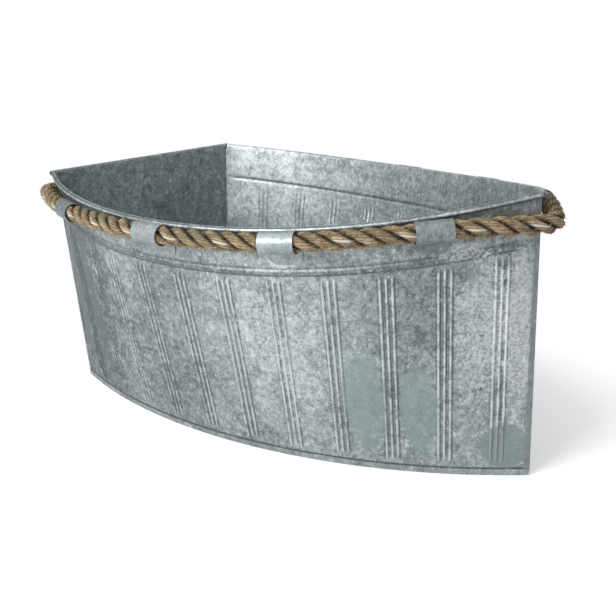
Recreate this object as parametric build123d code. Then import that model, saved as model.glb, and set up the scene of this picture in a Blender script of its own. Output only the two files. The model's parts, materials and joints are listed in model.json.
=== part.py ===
from build123d import *
import math
import os

# Boat-shaped planter of galvanised sheet steel, in millimetres.
# X runs from the transom to the bow, Z is up, and the boat is symmetric about Y = 0.
# Two bowed side panels meet at the bow and lap a flat transom at the stern. They stand in a
# floor pan with an upturned hem. Each panel's top edge is rolled over a steel wire, and a
# thick rope runs round the outside under the roll, held by sheet straps.

# Hull, along the middle of the sheet
LENGTH = 555.0
STERN_WIDTH = 263.0
FOOT_STERN_WIDTH = 228.0
STERN_RAKE = 5.0
RIM_BULGE = 121.0
FOOT_BULGE = 74.0
FULLNESS = 0.07
WALL_HEIGHT = 254.0

# Sheer of the rim
STERN_HEIGHT = 255.5
BOW_RISE = 15.7
SHEER_DIP = 14.0
SHEER_POWER = 6

# Sheet work
SHEET = 0.8
SEAM_GAP = 0.1
SEAT_GAP = 0.02
HEM_HEIGHT = 6.0
FLANGE_WIDTH = 7.0
STEM_LEG = 5.0
SEAM_END_GAP = 0.4

# Rolled rim and its wire
ROLL_RADIUS = 2.8
ROLL_OPENING = 50.0
WIRE_GAP = 0.15
ROLL_OVERHANG = 5.2
WIRE_SETBACK = 1.5

# Swaged bead that follows the rim
BEAD_DROP = 44.0
BEAD_HALF_WIDTH = 3.2
BEAD_HEIGHT = 2.2
BEAD_TRACE = 0.02
BEAD_END = 0.016

# Upright ribs in groups of three, as shares of the side's length
RIB_GROUPS = 11
RIBS_IN_GROUP = 3
RIB_FIRST = 0.085
RIB_PITCH = 0.086
RIB_SPACING = 6.0
RIB_HALF_WIDTH = 2.3
RIB_HEIGHT = 1.3
RIB_RAMP = 5.0
RIB_SINK = 0.4
RIB_FOOT_MARGIN = 6.0
RIB_TOP_MARGIN = 5.0

# Rope and its straps
ROPE_DIAMETER = 18.0
ROPE_BUTT_GAP = 1.0
STRAP_WIDTH = 33.0
STRAP_TAIL = 14.0
STRAP_CLEARANCE = 0.6
STRAP_MOUTH = 165.0
STRAP_TAB_RADIUS = 9.0
STRAP_TAB_SHARE = 0.8
STRAP_BEAD_GAP = 3.5

# Route of the rope from the stern corner to the bow: share of the side's length, distance out
# from the wall, then depth below the rim on the starboard side and on the port side.
ROPE_ROUTE = [
    (0.1, 12.3, 20.8, 20.8),
    (0.215, 12.9, 16.2, 16.2),
    (0.338, 14.1, 12.6, 12.6),
    (0.458, 14.2, 12.5, 12.5),
    (0.575, 14.0, 12.5, 12.5),
    (0.667, 13.8, 12.5, 12.4),
    (0.785, 13.7, 12.8, 12.5),
    (0.899, 12.5, 17.0, 14.0),
]
ROPE_STERN_DROP = 24.0
ROPE_CORNER_REACH = 15.4
ROPE_CORNER_RADIUS = 24.0
ROPE_BOW_REACH = 17.0
ROPE_BOW_DROP = 26.5
ROPE_BOW_RADIUS = 28.0
ROPE_ARC_SHARE = 0.45

# Straps on each side, as shares of the side's length
STRAP_SHARES = [0.170, 0.411, 0.628, 0.843]

SMALL_STEP = 0.002
PROFILE_RUNOUT = 0.01
MIDDLE = SHEET / 2
LAP = MIDDLE + SEAM_GAP
ROPE_RADIUS = ROPE_DIAMETER / 2
ROLL_OFFSET = ROLL_RADIUS - MIDDLE
UP = Vector(0, 0, 1)
QUARTER_TURN = 90.0
HALF_TURN = 180.0


def bowed(start, end, bulge, share):
    """Plan point at a share of the way along a circular bow that stands out from its chord."""
    chord = math.dist(start, end)
    radius = (chord**2 / 4 + bulge**2) / (2 * bulge)
    half_angle = math.asin(chord / 2 / radius)
    angle = (2 * share - 1) * half_angle
    along = 0.5 + radius * math.sin(angle) / chord
    out = radius * math.cos(angle) - (radius - bulge)
    along += FULLNESS * along * (1 - along)
    run = ((end[0] - start[0]) / chord, (end[1] - start[1]) / chord)
    return (
        start[0] + run[0] * along * chord + run[1] * out,
        start[1] + run[1] * along * chord - run[0] * out,
    )


def side_point(share, height):
    """Point in the middle of the starboard sheet: straight lines join the foot and the rim."""
    foot = bowed((STERN_RAKE, -FOOT_STERN_WIDTH / 2), (LENGTH, 0), FOOT_BULGE, share)
    rim = bowed((0, -STERN_WIDTH / 2), (LENGTH, 0), RIM_BULGE, share)
    rise = height / WALL_HEIGHT
    return Vector(
        foot[0] + (rim[0] - foot[0]) * rise,
        foot[1] + (rim[1] - foot[1]) * rise,
        height,
    )


def side_length():
    """Length of one side along the rim."""
    chord = math.dist((0, -STERN_WIDTH / 2), (LENGTH, 0))
    radius = (chord**2 / 4 + RIM_BULGE**2) / (2 * RIM_BULGE)
    return 2 * radius * math.asin(chord / 2 / radius)


def rim_height(share):
    """Top of the rolled rim, which dips amidships and lifts to the bow."""
    along = side_point(share, WALL_HEIGHT).X / LENGTH
    return STERN_HEIGHT + BOW_RISE * along**SHEER_POWER - 4 * SHEER_DIP * along * (1 - along)


def wall_up(share):
    """Direction up the wall along its straight line."""
    return (side_point(share, WALL_HEIGHT) - side_point(share, 0)).normalized()


def wall_out(share):
    """Outward normal of the starboard wall."""
    ahead = side_point(share + SMALL_STEP, WALL_HEIGHT / 2)
    behind = side_point(share - SMALL_STEP, WALL_HEIGHT / 2)
    return (ahead - behind).cross(wall_up(share)).normalized()


def wall_plane(share):
    """Plane square to the wall: X points out of the sheet and Y up along it."""
    out = wall_out(share)
    return Plane(origin=side_point(share, 0), x_dir=out, z_dir=out.cross(wall_up(share)))


def along_wall(share, height):
    """Distance up the wall's straight line to a height."""
    return height / wall_up(share).Z


def polar(centre, radius, degrees):
    """Point on a circle in a profile."""
    angle = math.radians(degrees)
    return (centre[0] + radius * math.cos(angle), centre[1] + radius * math.sin(angle))


def sheet_profile(foot, roll_at, bead_at=None, bead_height=0.0):
    """Section of a wall: straight sheet, outward bead, and its edge rolled outwards."""
    centre = (ROLL_OFFSET, roll_at)
    bore = ROLL_RADIUS - SHEET
    end = ROLL_OPENING - HALF_TURN
    half = end / 2
    edges = []
    inner_top = (-MIDDLE, roll_at)
    outer_top = (MIDDLE, roll_at)
    if bead_at is None:
        edges.append(Line((-MIDDLE, foot), inner_top))
        edges.append(Line(outer_top, (MIDDLE, foot)))
    else:
        inner_half = BEAD_HALF_WIDTH - MIDDLE
        inner_low = (-MIDDLE, bead_at - inner_half)
        inner_high = (-MIDDLE, bead_at + inner_half)
        outer_low = (MIDDLE, bead_at - BEAD_HALF_WIDTH)
        outer_high = (MIDDLE, bead_at + BEAD_HALF_WIDTH)
        edges.append(Line((-MIDDLE, foot), inner_low))
        edges.append(ThreePointArc(inner_low, (bead_height - MIDDLE, bead_at), inner_high))
        edges.append(Line(inner_high, inner_top))
        edges.append(Line(outer_top, outer_high))
        edges.append(ThreePointArc(outer_high, (MIDDLE + bead_height, bead_at), outer_low))
        edges.append(Line(outer_low, (MIDDLE, foot)))
    for radius in (ROLL_RADIUS, bore):
        for first, last in ((HALF_TURN, QUARTER_TURN), (QUARTER_TURN, 0), (0, end)):
            middle = half if last == end else (first + last) / 2
            arc = [polar(centre, radius, angle) for angle in (first, middle, last)]
            edges.append(ThreePointArc(*arc))
    edges.append(Line(polar(centre, ROLL_RADIUS, end), polar(centre, bore, end)))
    edges.append(Line((-MIDDLE, foot), (MIDDLE, foot)))
    return make_face(Wire([edge.edge() for edge in edges]))


def stations():
    """Shares of the side at which its section is drawn: each rib group has a span to itself."""
    first = RIB_FIRST - RIB_PITCH / 4
    middle = [first + RIB_PITCH / 2 * step for step in range(2 * RIB_GROUPS)]
    middle = [share for share in middle if BEAD_END < share < 1 - BEAD_END]
    return [-PROFILE_RUNOUT, BEAD_END] + middle + [1 - BEAD_END, 1 + PROFILE_RUNOUT]


def roll_centre(share):
    """How far up the wall the middle of the rolled edge lies."""
    return along_wall(share, rim_height(share) - ROLL_RADIUS)


def bead_centre(share):
    """How far up the wall the middle of the bead lies."""
    return along_wall(share, rim_height(share) - BEAD_DROP)


def transom_plane(forward=0.0):
    """Plane of the transom's middle, moved forward: its normal points to the bow."""
    up = Vector(-STERN_RAKE, 0, WALL_HEIGHT).normalized()
    normal = Vector(0, 1, 0).cross(up)
    return Plane(origin=Vector(STERN_RAKE, 0, 0) + normal * forward, x_dir=(0, 1, 0), z_dir=normal)


def trimmed(solid, setback=0.0):
    """A side's solid cut off at the floor, at the transom's inner face and at the bow."""
    solid = split(solid, bisect_by=Plane.XY.offset(SHEET + SEAT_GAP), keep=Keep.TOP)
    solid = split(solid, bisect_by=transom_plane(LAP + setback), keep=Keep.TOP)
    bow = Plane(origin=(0, -SEAM_GAP / 2 - setback, 0), z_dir=(0, -1, 0))
    return split(solid, bisect_by=bow, keep=Keep.TOP)


def rib_section(share, height_up, half_width, back, crest):
    """One cross-section of a rib or of the groove behind it."""
    plane = wall_plane(share)
    up = wall_up(share)
    face = make_face(
        Wire(
            [
                Line((back, half_width), (back, -half_width)).edge(),
                ThreePointArc((back, -half_width), (crest, 0), (back, half_width)).edge(),
            ]
        )
    )
    return Plane(origin=plane.origin + up * height_up, x_dir=plane.x_dir, z_dir=up) * face


def rib(share, foot, top, half_width, back, crest, sunk_crest):
    """Half-round rib along the wall, which runs out into the sheet at both ends."""
    marks = [(foot, sunk_crest), (foot + RIB_RAMP, crest), (top - RIB_RAMP, crest), (top, sunk_crest)]
    sections = [rib_section(share, at, half_width, back, reach) for at, reach in marks]
    return loft(sections, ruled=True)


def rib_shares():
    """Shares of the side at which the single ribs stand."""
    shares = []
    for group in range(RIB_GROUPS):
        middle = RIB_FIRST + RIB_PITCH * group
        for place in range(RIBS_IN_GROUP):
            offset = (place - (RIBS_IN_GROUP - 1) / 2) * RIB_SPACING / side_length()
            if BEAD_END < middle + offset < 1 - BEAD_END:
                shares.append(middle + offset)
    return shares


def side_panel():
    """Starboard side: bowed sheet with its rolled edge, the bead and the pressed ribs."""
    sections = []
    for share in stations():
        ends = share <= BEAD_END or share >= 1 - BEAD_END
        height = BEAD_TRACE if ends else BEAD_HEIGHT
        face = sheet_profile(-SHEET, roll_centre(share), bead_centre(share), height)
        sections.append(wall_plane(share) * face)
    panel = trimmed(loft(sections, ruled=True))
    ribs = []
    grooves = []
    for share in rib_shares():
        foot = along_wall(share, HEM_HEIGHT + RIB_FOOT_MARGIN)
        top = bead_centre(share) - BEAD_HALF_WIDTH - RIB_TOP_MARGIN
        crest = MIDDLE + RIB_HEIGHT
        back = -MIDDLE / 2
        ribs.append(rib(share, foot, top, RIB_HALF_WIDTH, back, crest, MIDDLE - RIB_SINK))
        groove_half = RIB_HALF_WIDTH - MIDDLE / 2
        groove_back = -2 * SHEET
        groove_end = -MIDDLE - RIB_SINK
        grooves.append(rib(share, foot, top, groove_half, groove_back, crest - SHEET, groove_end))
    return panel.fuse(*ribs).cut(*grooves)


def side_wire():
    """Wire inside the starboard side's rolled edge."""
    radius = ROLL_RADIUS - SHEET - WIRE_GAP
    sections = []
    for share in stations():
        ring = Pos(ROLL_OFFSET, roll_centre(share)) * Circle(radius)
        sections.append(wall_plane(share) * ring)
    return trimmed(loft(sections, ruled=True), WIRE_SETBACK)


def outline(height, offset):
    """Closed plan line of the hull at a height, moved out from the middle of the sheet."""
    side = []
    for share in stations():
        point = side_point(share, height) + wall_out(share) * offset
        side.append((point.X, point.Y))
    stern_x = STERN_RAKE * (1 - height / WALL_HEIGHT) - offset
    slope = (side[1][1] - side[0][1]) / (side[1][0] - side[0][0])
    corner = (stern_x, side[1][1] + slope * (stern_x - side[1][0]))
    slope = (side[-1][0] - side[-2][0]) / (side[-1][1] - side[-2][1])
    bow = (side[-2][0] - slope * side[-2][1], 0)
    starboard = [corner] + side[1:-1]
    port = [(x, -y) for x, y in reversed(starboard)]
    return [Vector(x, y, height) for x, y in starboard + [bow] + port]


def ring_face(points):
    """Flat face inside a closed line of points."""
    return make_face(Polyline(*points, close=True))


def hull_block(low, high, offset):
    """Solid between two heights that follows the hull at an offset."""
    return loft([ring_face(outline(low, offset)), ring_face(outline(high, offset))], ruled=True)


def floor_pan():
    """Floor sheet with its edge turned up outside the walls as a hem."""
    tray = hull_block(0, HEM_HEIGHT, LAP + SHEET)
    well = hull_block(SHEET, HEM_HEIGHT + SHEET, LAP)
    return tray - well


def transom_line(height):
    """X of the transom's middle at a height."""
    return STERN_RAKE * (1 - height / WALL_HEIGHT)


def lap_section(height):
    """Section of the transom's flange, turned forward over the outside of the side."""
    lap_share = FLANGE_WIDTH / side_length()
    out = wall_out(lap_share)
    tip = side_point(lap_share, height)
    outer_corner = outline(height, LAP + SHEET)[0]
    inner_corner = outline(height, LAP)[0]
    stern_x = transom_line(height)
    root = inner_corner.Y + FLANGE_WIDTH
    slope = (tip.Y + out.Y * LAP - inner_corner.Y) / (tip.X + out.X * LAP - inner_corner.X)
    bend = inner_corner.Y + slope * (stern_x + MIDDLE - inner_corner.X)
    corner_slope = (tip.Y + out.Y * (LAP + SHEET) - outer_corner.Y) / (
        tip.X + out.X * (LAP + SHEET) - outer_corner.X
    )
    corner = outer_corner.Y + corner_slope * (stern_x - MIDDLE - outer_corner.X)
    points = [
        Vector(stern_x - MIDDLE, root, height),
        Vector(stern_x - MIDDLE, corner, height),
        Vector(tip.X + out.X * (LAP + SHEET), tip.Y + out.Y * (LAP + SHEET), height),
        Vector(tip.X + out.X * LAP, tip.Y + out.Y * LAP, height),
        Vector(stern_x + MIDDLE, bend, height),
        Vector(stern_x + MIDDLE, root, height),
    ]
    return ring_face(points)


def transom_rise(height):
    """Distance up the raked transom to a height."""
    return height * math.hypot(STERN_RAKE, WALL_HEIGHT) / WALL_HEIGHT


def transom_profile_plane():
    """Plane in which the transom's section lies: X points aft and Y up the sheet."""
    aft = -transom_plane().z_dir
    return Plane(origin=(STERN_RAKE, 0, 0), x_dir=aft, z_dir=aft.cross(transom_up()))


def transom_up():
    """Direction up the transom."""
    return Vector(-STERN_RAKE, 0, WALL_HEIGHT).normalized()


def transom_roll_centre():
    """How far up the transom the middle of its rolled edge lies."""
    return transom_rise(STERN_HEIGHT - ROLL_RADIUS)


def transom_half_roll():
    """Half the length of the transom's rolled edge, which covers the ends of the sides' rolls."""
    return STERN_WIDTH / 2 + ROLL_OVERHANG


def transom_panel():
    """Flat stern sheet with its rolled edge and a flange over each side."""
    low = SHEET + SEAT_GAP
    joint = STERN_HEIGHT - 2 * ROLL_RADIUS
    half_low = -outline(low, MIDDLE)[0].Y
    half_high = -outline(joint, MIDDLE)[0].Y
    rise_low = transom_rise(low)
    rise_high = transom_rise(joint)
    sheet_plane = Plane(origin=(STERN_RAKE, 0, 0), x_dir=(0, 1, 0), z_dir=transom_plane().z_dir)
    direction = 1 if sheet_plane.y_dir.Z > 0 else -1
    points = [
        (-half_low, direction * rise_low),
        (half_low, direction * rise_low),
        (half_high, direction * rise_high),
        (-half_high, direction * rise_high),
    ]
    sheet = extrude(sheet_plane * make_face(Polyline(*points, close=True)), MIDDLE, both=True)
    roll = transom_profile_plane() * sheet_profile(rise_high - SHEET, transom_roll_centre())
    roll = extrude(roll, transom_half_roll(), both=True)
    lap = loft(
        [
            lap_section(HEM_HEIGHT + SEAM_END_GAP),
            lap_section(STERN_HEIGHT - 2 * ROLL_RADIUS - SEAM_END_GAP),
        ],
        ruled=True,
    )
    return sheet.fuse(roll, lap, mirror(lap, about=Plane.XZ))


def transom_wire():
    """Wire inside the transom's rolled edge."""
    ring = Pos(ROLL_OFFSET, transom_roll_centre()) * Circle(ROLL_RADIUS - SHEET - WIRE_GAP)
    return extrude(transom_profile_plane() * ring, transom_half_roll() - WIRE_SETBACK, both=True)


def stem_section(height):
    """Section of the folded strip that covers the bow seam."""
    nose_out = outline(height, LAP + SHEET)
    nose_in = outline(height, LAP)
    middle = len(nose_out) // 2
    points = []
    for line, sign in ((nose_out, 1), (nose_in, -1)):
        tip = line[middle]
        before = (line[middle - 1] - tip).normalized()
        after = (line[middle + 1] - tip).normalized()
        points += [tip + before * STEM_LEG, tip, tip + after * STEM_LEG][::sign]
    return ring_face(points)


def stem_strip():
    """Folded strip over the seam where the two sides meet."""
    top = rim_height(1) - 2 * ROLL_RADIUS - 2 * SEAM_END_GAP
    return loft([stem_section(HEM_HEIGHT + SEAM_END_GAP), stem_section(top)], ruled=True)


def mirrored_point(point):
    """The same point on the port side."""
    return Vector(point.X, -point.Y, point.Z)


def rope_points():
    """Corners of the rope's route, from the middle of the transom round by the bow."""
    starboard = []
    port = []
    for share, standoff, starboard_drop, port_drop in ROPE_ROUTE:
        for points, drop in ((starboard, starboard_drop), (port, port_drop)):
            height = rim_height(share) - drop
            out = wall_out(share)
            level = Vector(out.X, out.Y, 0).normalized()
            points.append(side_point(share, height) + level * standoff)
    height = STERN_HEIGHT - ROPE_STERN_DROP
    out = wall_out(0)
    bisector = (Vector(out.X, out.Y, 0).normalized() + Vector(-1, 0, 0)).normalized()
    corner = side_point(0, height) + bisector * ROPE_CORNER_REACH
    start = Vector(corner.X, -ROPE_BUTT_GAP / 2, height)
    bow = Vector(LENGTH + ROPE_BOW_REACH, 0, rim_height(1) - ROPE_BOW_DROP)
    back = [mirrored_point(point) for point in reversed(port)]
    ends = [mirrored_point(corner), mirrored_point(start)]
    return [start, corner] + starboard + [bow] + back + ends


def rope_radii(points):
    """Bend radius at each corner of the route."""
    radii = []
    for before, corner, after in zip(points, points[1:], points[2:]):
        turn = (corner - before).get_angle(after - corner)
        run = min((corner - before).length, (after - corner).length)
        radii.append(ROPE_ARC_SHARE * run / math.tan(math.radians(turn / 2)))
    bow = len(radii) // 2
    radii[0] = radii[-1] = ROPE_CORNER_RADIUS
    radii[bow] = ROPE_BOW_RADIUS
    return radii


def rope_path():
    """Middle line of the rope: straight runs joined by tangent arcs."""
    points = rope_points()
    radii = rope_radii(points)
    print("rope bend radii", [round(radius) for radius in radii])
    return FilletPolyline(*points, radius=radii).wire()


def rope(path):
    """The rope as a plain round cord."""
    start = Plane(origin=path @ 0, z_dir=path % 0)
    return sweep(start * Circle(ROPE_RADIUS), path=path)


def strap_section(origin, along, wall_low, wall_high, roll, tail):
    """Section of a strap: round the rope from the mouth, then flat down the wall."""
    out = along.cross(UP).normalized()
    plane = Plane(origin=origin, x_dir=out, z_dir=-along)
    inner = ROPE_RADIUS + STRAP_CLEARANCE
    outer = inner + SHEET
    low = plane.to_local_coords(wall_low)
    high = plane.to_local_coords(wall_high)
    lean = (high.X - low.X) / (high.Y - low.Y)
    roll_at = plane.to_local_coords(roll)
    reach = math.hypot(roll_at.X, roll_at.Y)
    clear = ROLL_RADIUS + SEAM_GAP
    mouth = STRAP_MOUTH
    if reach < outer + clear:
        spread = math.acos((outer**2 + reach**2 - clear**2) / (2 * outer * reach))
        mouth = min(mouth, math.degrees(math.atan2(roll_at.Y, roll_at.X) - spread))

    def wall_x(level, offset):
        return low.X + lean * (level - low.Y) + offset

    foot = -outer - tail
    half = (mouth - QUARTER_TURN) / 2
    edges = [
        ThreePointArc(polar((0, 0), inner, mouth), polar((0, 0), inner, half), (0, -inner)),
        Line((0, -inner), (wall_x(-inner, SEAM_GAP), -inner)),
        Line((wall_x(-inner, SEAM_GAP), -inner), (wall_x(foot, SEAM_GAP), foot)),
        Line((wall_x(foot, SEAM_GAP), foot), (wall_x(foot, SEAM_GAP + SHEET), foot)),
        Line((wall_x(foot, SEAM_GAP + SHEET), foot), (wall_x(-outer, SEAM_GAP + SHEET), -outer)),
        Line((wall_x(-outer, SEAM_GAP + SHEET), -outer), (0, -outer)),
        ThreePointArc((0, -outer), polar((0, 0), outer, half), polar((0, 0), outer, mouth)),
        Line(polar((0, 0), outer, mouth), polar((0, 0), inner, mouth)),
    ]
    return plane * make_face(Wire([edge.edge() for edge in edges]))


def strap(section, origin, along, tail):
    """Strap with a section, whose tail has its two lower corners rounded."""
    foot = ROPE_RADIUS + STRAP_CLEARANCE + SHEET + tail
    height = 2 * STRAP_WIDTH
    plane = Plane(origin=origin, x_dir=along, z_dir=along.cross(UP).normalized())
    tab = RectangleRounded(STRAP_WIDTH, height, min(STRAP_TAB_RADIUS, tail * STRAP_TAB_SHARE))
    tab = extrude(plane * Pos(0, height / 2 - foot) * tab, height, both=True)
    return extrude(section, STRAP_WIDTH, both=True) & tab


def side_strap(path, share, sign):
    """Strap at a share of the side: sign is 1 for starboard and -1 for port."""
    height = rim_height(share)
    wall = side_point(share, height)
    guess = wall + wall_out(share) * ROPE_DIAMETER
    guess = Vector(guess.X, sign * guess.Y, guess.Z)
    at = path.param_at_point(nearest_on(path, guess))
    origin = path.position_at(at)
    along = path.tangent_at(at)
    out = wall_out(share)
    levels = [origin.Z - ROPE_RADIUS - STRAP_TAIL, origin.Z]
    faces = [side_point(share, level) + out * MIDDLE for level in levels]
    plane = wall_plane(share)
    roll = plane.origin + plane.x_dir * ROLL_OFFSET + wall_up(share) * roll_centre(share)
    points = [Vector(point.X, sign * point.Y, point.Z) for point in faces + [roll]]
    bead_top = height - BEAD_DROP + BEAD_HALF_WIDTH + STRAP_BEAD_GAP
    foot = origin.Z - ROPE_RADIUS - STRAP_CLEARANCE - SHEET
    tail = min(STRAP_TAIL, foot - bead_top)
    section = strap_section(origin, along, points[0], points[1], points[2], tail)
    return strap(section, origin, along, tail)


def nearest_on(path, point):
    """Nearest point of the rope's middle line."""
    return path.closest_points(point)[0]


def transom_strap(path):
    """Strap in the middle of the transom, over the butted ends of the rope."""
    origin = path @ 0
    origin = Vector(origin.X, 0, origin.Z)
    levels = [origin.Z - ROPE_RADIUS - STRAP_TAIL, origin.Z]
    aft = -transom_plane().z_dir
    faces = [Vector(transom_line(level), 0, level) + aft * MIDDLE for level in levels]
    roll = Vector(STERN_RAKE, 0, 0) + aft * ROLL_OFFSET + transom_up() * transom_roll_centre()
    along = Vector(0, -1, 0)
    section = strap_section(origin, along, faces[0], faces[1], roll, STRAP_TAIL)
    return strap(section, origin, along, STRAP_TAIL)


def build():
    """Every piece under its own name."""
    starboard_side = side_panel()
    wire = side_wire()
    path = rope_path()
    pieces = {
        "floor_pan": floor_pan(),
        "starboard_side_panel": starboard_side,
        "port_side_panel": mirror(starboard_side, about=Plane.XZ),
        "transom_panel": transom_panel(),
        "bow_seam_strip": stem_strip(),
        "starboard_rim_wire": wire,
        "port_rim_wire": mirror(wire, about=Plane.XZ),
        "transom_rim_wire": transom_wire(),
        "rope": rope(path),
        "transom_strap": transom_strap(path),
    }
    for number, share in enumerate(STRAP_SHARES, start=1):
        pieces[f"starboard_strap_{number}"] = side_strap(path, share, 1)
        pieces[f"port_strap_{number}"] = side_strap(path, share, -1)
    return pieces


pieces = build()
boxes = [piece.bounding_box() for piece in pieces.values()]
middle = (min(box.min.X for box in boxes) + max(box.max.X for box in boxes)) / 2
print("middle of the whole length, from the foot of the transom", round(middle, 3))
os.makedirs("parts", exist_ok=True)
for name, piece in pieces.items():
    export_step(Pos(-middle, 0, 0) * piece, f"parts/{name}.step")
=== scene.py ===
import json
import math
import random

import bpy
from mathutils import Matrix, Vector

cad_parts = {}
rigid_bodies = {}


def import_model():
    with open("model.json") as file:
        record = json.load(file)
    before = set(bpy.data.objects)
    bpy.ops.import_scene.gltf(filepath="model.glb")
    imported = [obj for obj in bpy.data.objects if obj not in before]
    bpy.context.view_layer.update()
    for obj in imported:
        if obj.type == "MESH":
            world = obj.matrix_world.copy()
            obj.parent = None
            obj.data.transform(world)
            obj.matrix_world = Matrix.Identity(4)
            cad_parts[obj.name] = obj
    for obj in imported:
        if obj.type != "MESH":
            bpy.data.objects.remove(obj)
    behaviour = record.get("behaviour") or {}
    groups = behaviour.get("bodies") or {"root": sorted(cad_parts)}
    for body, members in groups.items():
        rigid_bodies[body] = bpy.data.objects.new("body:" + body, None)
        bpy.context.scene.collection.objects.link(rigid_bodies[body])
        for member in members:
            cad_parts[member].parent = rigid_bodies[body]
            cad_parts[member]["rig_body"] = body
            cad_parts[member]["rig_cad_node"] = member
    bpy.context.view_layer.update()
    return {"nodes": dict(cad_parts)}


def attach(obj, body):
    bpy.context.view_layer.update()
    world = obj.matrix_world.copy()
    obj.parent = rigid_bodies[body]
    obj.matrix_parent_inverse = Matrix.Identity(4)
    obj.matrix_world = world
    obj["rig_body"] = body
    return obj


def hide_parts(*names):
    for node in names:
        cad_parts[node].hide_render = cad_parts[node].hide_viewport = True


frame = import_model()

bl_info = {
    "name": "Boat-shaped sheet planter",
    "version": (1, 0, 0),
    "blender": (4, 5, 0),
    "location": "3D View > Sidebar > Planter",
    "description": "Galvanised skins, laid rope, straps and studio for the boat-shaped planter",
    "category": "Object",
}

BODY = "root"
MM = 0.001

# The hull, in millimetres along the middle of the sheet, as the solids have it.
LENGTH = 555.0
STERN_WIDTH = 263.0
FOOT_STERN_WIDTH = 228.0
STERN_RAKE = 5.0
RIM_BULGE = 121.0
FOOT_BULGE = 74.0
FULLNESS = 0.07
WALL_HEIGHT = 254.0
STERN_HEIGHT = 255.5
BOW_RISE = 15.7
SHEER_DIP = 14.0
SHEER_POWER = 6
SHEET = 0.8
ROLL_RADIUS = 2.8
ROLL_OFFSET = 2.4
ROLL_END = -130.0
BEAD_DROP = 44.0
RIB_GROUPS = 11
RIB_FIRST = 0.085
RIB_PITCH = 0.086
RIB_SPACING = 6.0
# From the foot of the transom to the middle of the whole length.
ROW_SHIFT = -275.919

# How far the skins reach, and how far apart their rows and columns of points are.
SKIN_FOOT = 0.85
SKIN_STERN = 0.004
SKIN_BOW = 0.9985
PLAIN_COLUMNS = 110
RIB_COLUMNS = 34
RIB_EDGE = 1.2
LOW_ROWS_TOP = 18.0
HIGH_ROWS_FOOT = 56.0
MIDDLE_ROWS = 22
BEAD_ROWS = 5
BEAD_ROW_STEP = 0.68
ROLL_STEP = 12
SHARP_SHEET = 40.0
SHARP_NODE = 35.0
SHARP_STRAND = 60.0

# Where the ribs rise and fall, in millimetres, and where the bead does, in shares of the side.
RIB_FOOT = (11.0, 17.5)
RIB_TOP_GAP = 3.5
RIB_TOP_RUN = 6.0
BEAD_STERN = (0.010, 0.045)
BEAD_BOW = (0.965, 0.992)
RIB_SHARPNESS = 1.3

# Dents of the hand-bent sheet: their lengths along and up the side, and where they start and end.
SLOW_DENT = 31.0
SLOW_DENT_UP = 37.0
DENT_DRIFT = 90.0
QUICK_DENT = 13.0
QUICK_DENT_UP = 22.0
QUICK_SHARE = 0.6
DENT_PHASE = 1.3
DENT_FOOT = (10.0, 40.0)
DENT_TOP = (50.0, 80.0)

# Painted highlight and painted shade lines of the ribs, bead, hem and roll, put where light and
# shadow fall on these forms: level, place and width.
RIB_PAINTED_LIGHT = ((1.25, 0.0, 0.75), (-0.95, 1.9, 0.8), (-0.55, -1.9, 0.8))
BEAD_PAINTED_LIGHT = ((-0.5, 0.0, 2.0), (-1.3, 3.4, 0.9), (-0.8, -3.6, 0.9))
HEM_PAINTED_LIGHT = ((1.0, 4.0, 1.4), (-2.0, 6.9, 0.7), (-1.0, 0.85, 0.9))
ROLL_PAINTED_LIGHT = ((1.6, 112.0, 24.0), (-1.1, 62.0, 22.0), (0.7, 18.0, 20.0), (-1.3, -45.0, 35.0))
# Share of the painted rib highlight and shade kept at the stern, the shares of the side over which
# it grows to full, the shares of the painted highlight and shade kept inside the hull, and the
# share of each rib's depth filled in inside.
STERN_PAINTED_LIGHT = 0.40
FULL_PAINTED_LIGHT = (0.20, 0.55)
INSIDE_LIGHT = 0.35
INSIDE_DARK = 0.25
INSIDE_FILL = 0.65

# Straps whose zinc is given a darker tone and less bloom.
DARKER_STRAPS = ("starboard_strap_1", "starboard_strap_4", "port_strap_2")

# Corners of the rope's route: share of the side, standoff, and drop on starboard and port.
ROPE_ROUTE = [
    (0.1, 12.3, 20.8, 20.8),
    (0.215, 12.9, 16.2, 16.2),
    (0.338, 14.1, 12.6, 12.6),
    (0.458, 14.2, 12.5, 12.5),
    (0.575, 14.0, 12.5, 12.5),
    (0.667, 13.8, 12.5, 12.4),
    (0.785, 13.7, 12.8, 12.5),
    (0.899, 12.5, 17.0, 14.0),
]
ROPE_STERN_DROP = 24.0
ROPE_CORNER_REACH = 15.4
ROPE_BOW_REACH = 17.0
ROPE_BOW_DROP = 26.5
ROPE_BUTT_GAP = 1.0
ROPE_CORNER_RUN = 28.8
ROPE_BOW_RUN = 32.0
ROPE_RADIUS = 9.0
ROPE_STEP = 1.7
STRANDS = 3
STRAND_SIDES = 18
YARNS = 9.0
LAY_SWAY = 0.05
LAY_SWAY_RATE = 43
SWELL = 0.02
SLOW_SWELL = 71
QUICK_SWELL = 167
SWELL_SHIFT = 2.1
YARN_ROUGHNESS = 0.045

# Loose fibres of the rope: their share of the points, how far round a strand they grow,
# their place in the map of the yarns, and their least and greatest length and girth.
HAIR_SHARE = 0.16
HAIR_REACH = -0.2
HAIR_YARN = 0.3
HAIR_LENGTH = (1.5, 4.6)
HAIR_GIRTH = (0.13, 0.22)
HAIR_ROOT = 0.3
RANDOM_SEED = 7

# The photograph's camera: degrees, millimetres of the hull and pixels.
CAMERA_AZIMUTH = 43.846
CAMERA_ELEVATION = 17.501
CAMERA_ROLL = -1.595
CAMERA_DISTANCE = 1049.25
CAMERA_AIM = (277.42, 0, 127.0)
CAMERA_RIGHT = -3.584
CAMERA_UP = -15.508
FOCAL_PIXELS = 953.4
IMAGE_WIDTH = 616
SENSOR_WIDTH = 36.0


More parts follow.
